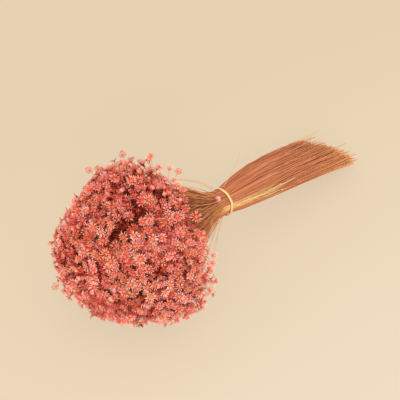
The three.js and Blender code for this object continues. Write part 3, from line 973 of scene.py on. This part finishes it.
class HeadMaker:
    """The head shapes, and the tree that scatters them. Its helper objects go when close() is called."""

    def __init__(self):
        self.material = material_named("dyed_petals", petal_material)
        self.collection = bpy.data.collections.new("head_shapes")
        bpy.context.scene.collection.children.link(self.collection)
        parts = {name: add_object(name, ray_mesh(name)) for name in RAY_SHAPES}
        parts["disc"] = add_object("disc", disc_mesh())
        self.helpers = list(parts.values())
        tree = head_tree()
        for kind, (ray, rays, foot, reach, lift, spread, radius, height) in HEAD_SHAPES.items():
            for variant in range(VARIANTS):
                head = tree.make(f"head_{kind}{variant}", bpy.data.meshes.new("empty"), {
                    "Ray": parts[ray], "Disc": parts["disc"], "Rays": rays - variant % 2, "Foot Radius": foot,
                    "Ray Length": reach, "Lift": math.radians(lift), "Lift Spread": math.radians(spread),
                    "Disc Radius": radius, "Disc Height": height, "Seed": 10 * kind + variant,
                    "Material": self.material})
                bpy.context.scene.collection.objects.unlink(head)
                self.collection.objects.link(head)
                self.helpers.append(head)
        self.tree = scatter_tree()

    def scatter(self, name, heads, generator):
        """A piece that holds those heads, realised, with its tint and along numbers on every point."""
        turns = [Vector(facing).to_track_quat("Z", "Y") @ Quaternion((0, 0, 1), spin)
                 for facing, spin in zip(heads["facing"], heads["spin"])]
        count = len(turns)
        stretch = generator.uniform((0.94, 0.94, 0.85), (1.06, 1.06, 1.2), (count, 3))
        mesh = mesh_from(name, heads["place"], tint=heads["tint"], hue=heads["hue"])
        store(mesh, "turn", [turn.to_euler()[:] for turn in turns], "FLOAT_VECTOR")
        store(mesh, "size", heads["size"][:, None] * stretch, "FLOAT_VECTOR")
        store(mesh, "kind", heads["kind"] * VARIANTS + generator.integers(0, VARIANTS, count), "INT")
        piece = self.tree.make(name, mesh, {"Heads": self.collection, "Material": self.material})
        settled = rest_on_floor(points_of(piece.data), 1.2 * MM)
        piece.data.vertices.foreach_set("co", settled.ravel())
        piece.data.update()
        tint = read(piece.data, "tint") + 0.10 * read(piece.data, "shade") + 0.02 * read(piece.data, "across")
        finish_attributes(piece.data, tint, read(piece.data, "along"), read(piece.data, "hue"))
        return piece

    def close(self):
        for helper in self.helpers:
            bpy.data.objects.remove(helper)
        bpy.data.collections.remove(self.collection)


def finish_attributes(mesh, tint, along, hue=None):
    """Leaves a mesh with the numbers that its material reads, and with a map of them named OFBake.

    On the map, heads of the three hues lie side by side, so that no two of them share a place.
    """
    numbers = {"tint": np.clip(tint, 0.0, 1.0), "along": np.clip(along, 0.0, 1.0)}
    across = numbers["tint"]
    if hue is not None:
        numbers["hue"] = hue
        across = (np.round(hue * 2) + 0.02 + 0.96 * across) / 3
    for name in [a.name for a in mesh.attributes if not (a.is_internal or a.is_required)]:
        if name not in ("sharp_face", "material_index"):
            mesh.attributes.remove(mesh.attributes[name])
    for name, values in numbers.items():
        store(mesh, name, values)
    corners = np.empty(len(mesh.loops), np.int32)
    mesh.loops.foreach_get("vertex_index", corners)
    places = np.stack((across[corners], numbers["along"][corners]), -1).astype(np.float32)
    mesh.uv_layers.new(name="OFBake").data.foreach_set("uv", places.ravel())


def declare(piece, slot, *nodes):
    """The piece rides on the one body and stands for those CAD nodes, which it hides. The slot is not used."""
    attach(piece, BODY)
    if nodes:
        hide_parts(*nodes)


class BUNCH_OT_flower_heads(bpy.types.Operator):
    """Makes the dome of flower heads, one piece for each CAD cluster"""
    bl_idname = "bunch.flower_heads"
    bl_label = "Flower heads"

    def execute(self, context):
        plan = the_plan()
        maker = HeadMaker()
        generator = np.random.default_rng(context.scene.bunch_flowers.seed + 1)
        for node in nodes_named("flowers_"):
            chosen = plan.heads["owner"] == node
            if not chosen.any():
                raise RuntimeError(f"no head lies on {node}")
            heads = {key: values[chosen] for key, values in plan.heads.items()}
            piece = maker.scatter(node.replace("flowers", "heads"), heads, generator)
            declare(piece, "flower", node)
        maker.close()
        return {"FINISHED"}


# ---------------------------------------------------------------- stems

STEM_SIDES = 4


def stem_tree():
    """Stems from poly lines: each a tapering rod with closed ends."""
    g = GeometryTree("Stems", {"Sides": ("Int", STEM_SIDES), "Material": ("Material", None)})
    curves = g.add("GeometryNodeMeshToCurve", None, {"Mesh": g.input["Geometry"]})
    profile = g.add("GeometryNodeCurvePrimitiveCircle", None,
                    {"Resolution": g.input["Sides"], "Radius": 1.0}, "Curve")
    rods = g.add("GeometryNodeCurveToMesh", None, {
        "Curve": curves, "Profile Curve": profile, "Scale": g.attribute("thick"), "Fill Caps": True})
    g.finish(g.add("GeometryNodeSetShadeSmooth", None, {"Geometry": rods, "Shade Smooth": True}))
    return g


def stems_piece(name, tree, paths, along, tints, thick):
    """A piece of stems along those paths, (stem, point, xyz), with a tint for each stem."""
    count, steps = along.shape
    edges = [(s * steps + k, s * steps + k + 1) for s in range(count) for k in range(steps - 1)]
    mesh = mesh_from(name, paths.reshape(-1, 3), edges,
                     along=along, tint=np.repeat(tints, steps), thick=thick)
    piece = tree.make(name, mesh, {
        "Sides": STEM_SIDES, "Material": material_named("dyed_stems", stem_material)})
    # One edge of a stem is a little lighter and the opposite one darker: painted shading across the stem.
    across = np.array((-1, 0, 1, 0))[np.arange(len(piece.data.vertices)) % STEM_SIDES]
    tint = read(piece.data, "tint")
    tint += 0.012 * across * np.where(tint > (DYED + STRAW) / 2, 0.3, 1)
    finish_attributes(piece.data, tint, read(piece.data, "along"))
    return piece


class BUNCH_OT_stems(bpy.types.Operator):
    """Makes the stems, one piece for each CAD lock"""
    bl_idname = "bunch.stems"
    bl_label = "Stems"

    def execute(self, context):
        plan, stems = the_plan(), context.scene.bunch_stems
        tree = stem_tree()
        for node in nodes_named("stems_"):
            chosen = plan.stem_owner == node
            if not chosen.any():
                raise RuntimeError(f"no stem lies in {node}")
            along = plan.along[chosen]
            thick = stems.cut_radius + (stems.head_radius - stems.cut_radius) * along
            thick = thick * np.where(plan.single[chosen], 0.7, 1)[:, None]
            piece = stems_piece(node.replace("stems", "stalks"), tree, plan.paths[chosen], along,
                                plan.stem_tint[chosen], thick)
            declare(piece, "pale_stem" if node == PALE_LOCK else "stem", node)
        return {"FINISHED"}


# ---------------------------------------------------------------- single flowers and loose strands

def thread(start, middle, end, steps):
    """Points on a smooth arc that passes close to middle."""
    t = np.linspace(0, 1, steps)[:, None]
    start, middle, end = (np.asarray(p, float) for p in (start, middle, end))
    return (1 - t) ** 2 * start + 2 * t * (1 - t) * middle + t ** 2 * end


class BUNCH_OT_single_flowers(bpy.types.Operator):
    """Makes the flowers that stand clear of the dome, and the bud caught by the band"""
    bl_idname = "bunch.single_flowers"
    bl_label = "Single flowers"

    def execute(self, context):
        plan, maker = the_plan(), HeadMaker()
        axes = plan.axes
        generator = np.random.default_rng(context.scene.bunch_flowers.seed + 2)
        for number in range(1, len(STRAY_KINDS) + 1):
            name = f"stray_flower_{number}"
            chosen = plan.heads["owner"] == name
            heads = {key: values[chosen] for key, values in plan.heads.items()}
            declare(maker.scatter(f"single_head_{number}", heads, generator), "flower", name)
        low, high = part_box("caught_bud")
        middle = np.array((low + high) / 2)
        from_band = middle - axes.band
        facing = unit(0.7 * unit(from_band) + 0.9 * axes.along)
        clear = unit(from_band - axes.along * (from_band @ axes.along)) * 1.8 * MM
        bud = {"place": middle + clear - facing * 2.6 * MM, "facing": facing, "spin": 1.0,
               "kind": BUD, "size": 9.6 * MM, "tint": 0.97, "hue": 0.0}
        heads = {key: np.array([value]) for key, value in bud.items()}
        declare(maker.scatter("bud_by_band", heads, generator), "flower", "caught_bud")
        maker.close()
        return {"FINISHED"}


# Where it starts, where it bows to and where it ends in upright mm, how many, their tint and radius in mm.
LOOSE_STRANDS = [
    ((17, 6, -4), (38, 9, -24), (50, 17, -33), 1, 0.98, 0.34),
    ((-13, -8, 3), (-34, -15, 16), (-55, -33, 34), 2, 0.80, 0.24),
    ((-13, -7, 5), (-33, -13, 20), (-55, -27, 40), 2, 0.62, 0.24),
    ((-12, -6, 6), (-30, -11, 24), (-56, -22, 46), 4, 0.50, 0.26),
    ((9, 13, 4), (17, 32, 12), (10, 56, 34), 3, 0.74, 0.22),
    ((8, 14, 8), (15, 30, 22), (5, 44, 40), 3, 0.60, 0.22),
]
# The wisps: how many, how far round the tail they spread, then in mm how far back they end, how far their ends
# stand off and their radii.
WISPS, WISP_TURN_SPREAD, WISP_TINTS = 60, 0.9, (0.6, 0.76, 0.86, 0.93)
WISP_ENDS, WISP_STAND, WISP_RADII = (112, 186), (0.0, 3.2), (0.14, 0.22)


class BUNCH_OT_loose_strands(bpy.types.Operator):
    """Makes the thin loose strands that stand clear of the neck, and the wisps over the cut ends"""
    bl_idname = "bunch.loose_strands"
    bl_label = "Loose strands"

    def execute(self, context):
        generator = np.random.default_rng(context.scene.bunch_stems.seed + 1)
        strands = []
        for start, bow, end, count, tint, radius in LOOSE_STRANDS:
            for _ in range(count):
                spread = generator.normal(scale=1.6, size=(3, 3)) * (count > 1)
                strands.append(((np.array((start, bow, end)) + spread) * MM, tint, radius * MM))
        self.piece("loose_strands", strands, 0.56, 0.74)
        self.piece("tail_wisps", [self.wisp(generator) for _ in range(WISPS)], 0.35, 0.02)
        return {"FINISHED"}

    def wisp(self, generator):
        """(the corners of its arc, tint, radius) of a thin strand that lies along the top of the tail."""
        turn = generator.normal(UPPER_TURN, WISP_TURN_SPREAD)
        last = -generator.uniform(*WISP_ENDS) * MM
        stand = generator.uniform(*WISP_STAND) * MM
        corners = []
        for z, lift in ((0.45 * last, -1 * MM), (0.75 * last, -0.5 * MM), (last, stand)):
            out = (WAIST_RADIUS - 0.5 * MM) * tail_swell(z) * (1 - 0.25 * (z / TAIL_LENGTH) ** 2) + lift
            sway = -TAIL_SWAY * z / TAIL_LENGTH
            corners.append((out * math.cos(turn), out * math.sin(turn) + sway, z))
        return corners, generator.choice(WISP_TINTS), generator.uniform(*WISP_RADII) * MM

    def piece(self, name, strands, first, last, steps=10):
        """A piece of strands that thin to half, whose along numbers run from first to last."""
        corners, tints, radii = zip(*strands)
        paths = [thread(*three, steps) for three in corners]
        along = np.tile(np.linspace(first, last, steps), (len(strands), 1))
        thick = np.array(radii)[:, None] * np.linspace(1, 0.5, steps)
        rows = rest_on_floor(the_plan().axes.to_row(paths))
        declare(stems_piece(name, stem_tree(), rows, along, np.array(tints), thick), "stem")


# ---------------------------------------------------------------- rubber band

class BUNCH_OT_rubber_band(bpy.types.Operator):
    """Makes the rubber band: a flat loop with rounded edges that dips between the stems"""
    bl_idname = "bunch.rubber_band"
    bl_label = "Rubber band"

    def execute(self, context):
        axes, band = the_plan().axes, context.scene.bunch_band
        generator = np.random.default_rng(3)
        around, section = 132, 10
        middle = axes.band_radius - band.thickness / 2 - 0.1 * MM
        dips = [(n, generator.uniform(0, 2 * math.pi), generator.uniform(0.3, 1) / n ** 0.5)
                for n in (5, 9, 14, 23)]
        points, faces = [], []
        for k in range(around):
            turn = 2 * math.pi * k / around
            dip = sum(depth * math.sin(n * turn + phase) for n, phase, depth in dips) / len(dips)
            shift = 0.35 * MM * math.sin(3 * turn + 1) + 0.18 * MM * math.sin(8 * turn)
            a, b = k * section, (k + 1) % around * section
            for j in range(section):
                # The section is a flat loop with rounded corners.
                angle_in = 2 * math.pi * (j + 0.5) / section
                c, s = (math.copysign(abs(v) ** 0.6, v) for v in (math.cos(angle_in), math.sin(angle_in)))
                out = middle + dip * band.ripple + c * band.thickness / 2
                points.append((out * math.cos(turn), out * math.sin(turn), shift + s * BAND_WIDTH * 0.46))
                after = (j + 1) % section
                faces.append((a + j, b + j, b + after, a + after))
        mesh = mesh_from("elastic_band", axes.to_row(points), (), faces)
        mesh.materials.append(material_named("pale_rubber", rubber_material))
        mesh.shade_smooth()
        declare(add_object("elastic_band", mesh), "band", "rubber_band")
        return {"FINISHED"}


# ---------------------------------------------------------------- stage

# The lamp's place, what it shines on and how wide it is. The light is a little warm.
LAMP_PLACE, LAMP_TARGET, LAMP_SIZE = (-1.15, -1.25, 1.15), (0, 0, 0.05), 0.8
LAMP_TONE, ROOM_TONE = (1.0, 0.97, 0.94), (1.0, 0.985, 0.965, 1)
FLOOR_HALF = 6.0


class BUNCH_OT_stage(bpy.types.Operator):
    """Makes the floor, the light and the camera"""
    bl_idname = "bunch.stage"
    bl_label = "Stage"

    def execute(self, context):
        scene, stage = context.scene, context.scene.bunch_stage
        band = the_plan().axes.band
        aim = Vector((band[0] + stage.aim_side, band[1] + stage.aim_across, stage.aim_height))
        a, e = stage.azimuth, stage.elevation
        back = Vector((math.sin(a) * math.cos(e), -math.cos(a) * math.cos(e), math.sin(e)))
        lens = bpy.data.cameras.new("camera")
        lens.lens, lens.sensor_width, lens.clip_end = stage.lens_mm, 36, 50
        scene.camera = add_object("camera", lens)
        scene.camera.location = aim + back * stage.distance
        scene.camera.rotation_euler = back.to_track_quat("Z", "Y").to_euler()

        corners = [(x * FLOOR_HALF, y * FLOOR_HALF, 0) for x, y in ((-1, -1), (1, -1), (1, 1), (-1, 1))]
        mesh = mesh_from("floor", corners, (), [(0, 1, 2, 3)])
        mesh.materials.append(material_named("cream_floor", floor_material))
        floor = add_object("floor", mesh)

        light = bpy.data.lights.new("key", "AREA")
        light.shape, light.size, light.energy, light.color = "DISK", LAMP_SIZE, stage.key_power, LAMP_TONE
        lamp = add_object("key", light)
        lamp.location = LAMP_PLACE
        lamp.rotation_euler = (Vector(LAMP_TARGET) - Vector(LAMP_PLACE)).to_track_quat("-Z", "Y").to_euler()
        scene.world = bpy.data.worlds.new("room")
        scene.world.use_nodes = True
        backdrop = scene.world.node_tree.nodes["Background"]
        backdrop.inputs["Color"].default_value = ROOM_TONE
        backdrop.inputs["Strength"].default_value = stage.world_strength
        scene.view_settings.view_transform = "Standard"
        return {"FINISHED"}


OPERATORS = (BUNCH_OT_stage, BUNCH_OT_flower_heads, BUNCH_OT_stems, BUNCH_OT_single_flowers,
             BUNCH_OT_loose_strands, BUNCH_OT_rubber_band)


class BUNCH_PT_panel(bpy.types.Panel):
    """Lists the steps that build the bunch"""
    bl_idname = "BUNCH_PT_panel"
    bl_label = "Dried flowers"
    bl_space_type = "VIEW_3D"
    bl_region_type = "UI"
    bl_category = "Dried Flowers"

    def draw(self, context):
        for name, group in SETTINGS.items():
            box = self.layout.box()
            for label in group.__annotations__:
                box.prop(getattr(context.scene, name), label)
        for operator in OPERATORS:
            self.layout.operator(operator.bl_idname)


CLASSES = (*SETTINGS.values(), *OPERATORS, BUNCH_PT_panel)


def register():
    for cls in CLASSES:
        bpy.utils.register_class(cls)
    for name, group in SETTINGS.items():
        setattr(bpy.types.Scene, name, bpy.props.PointerProperty(type=group))


def unregister():
    for name in SETTINGS:
        delattr(bpy.types.Scene, name)
    for cls in reversed(CLASSES):
        bpy.utils.unregister_class(cls)


def main():
    register()
    for operator in OPERATORS:
        family, name = operator.bl_idname.split(".")
        getattr(getattr(bpy.ops, family), name)()


if __name__ == "__main__":
    main()
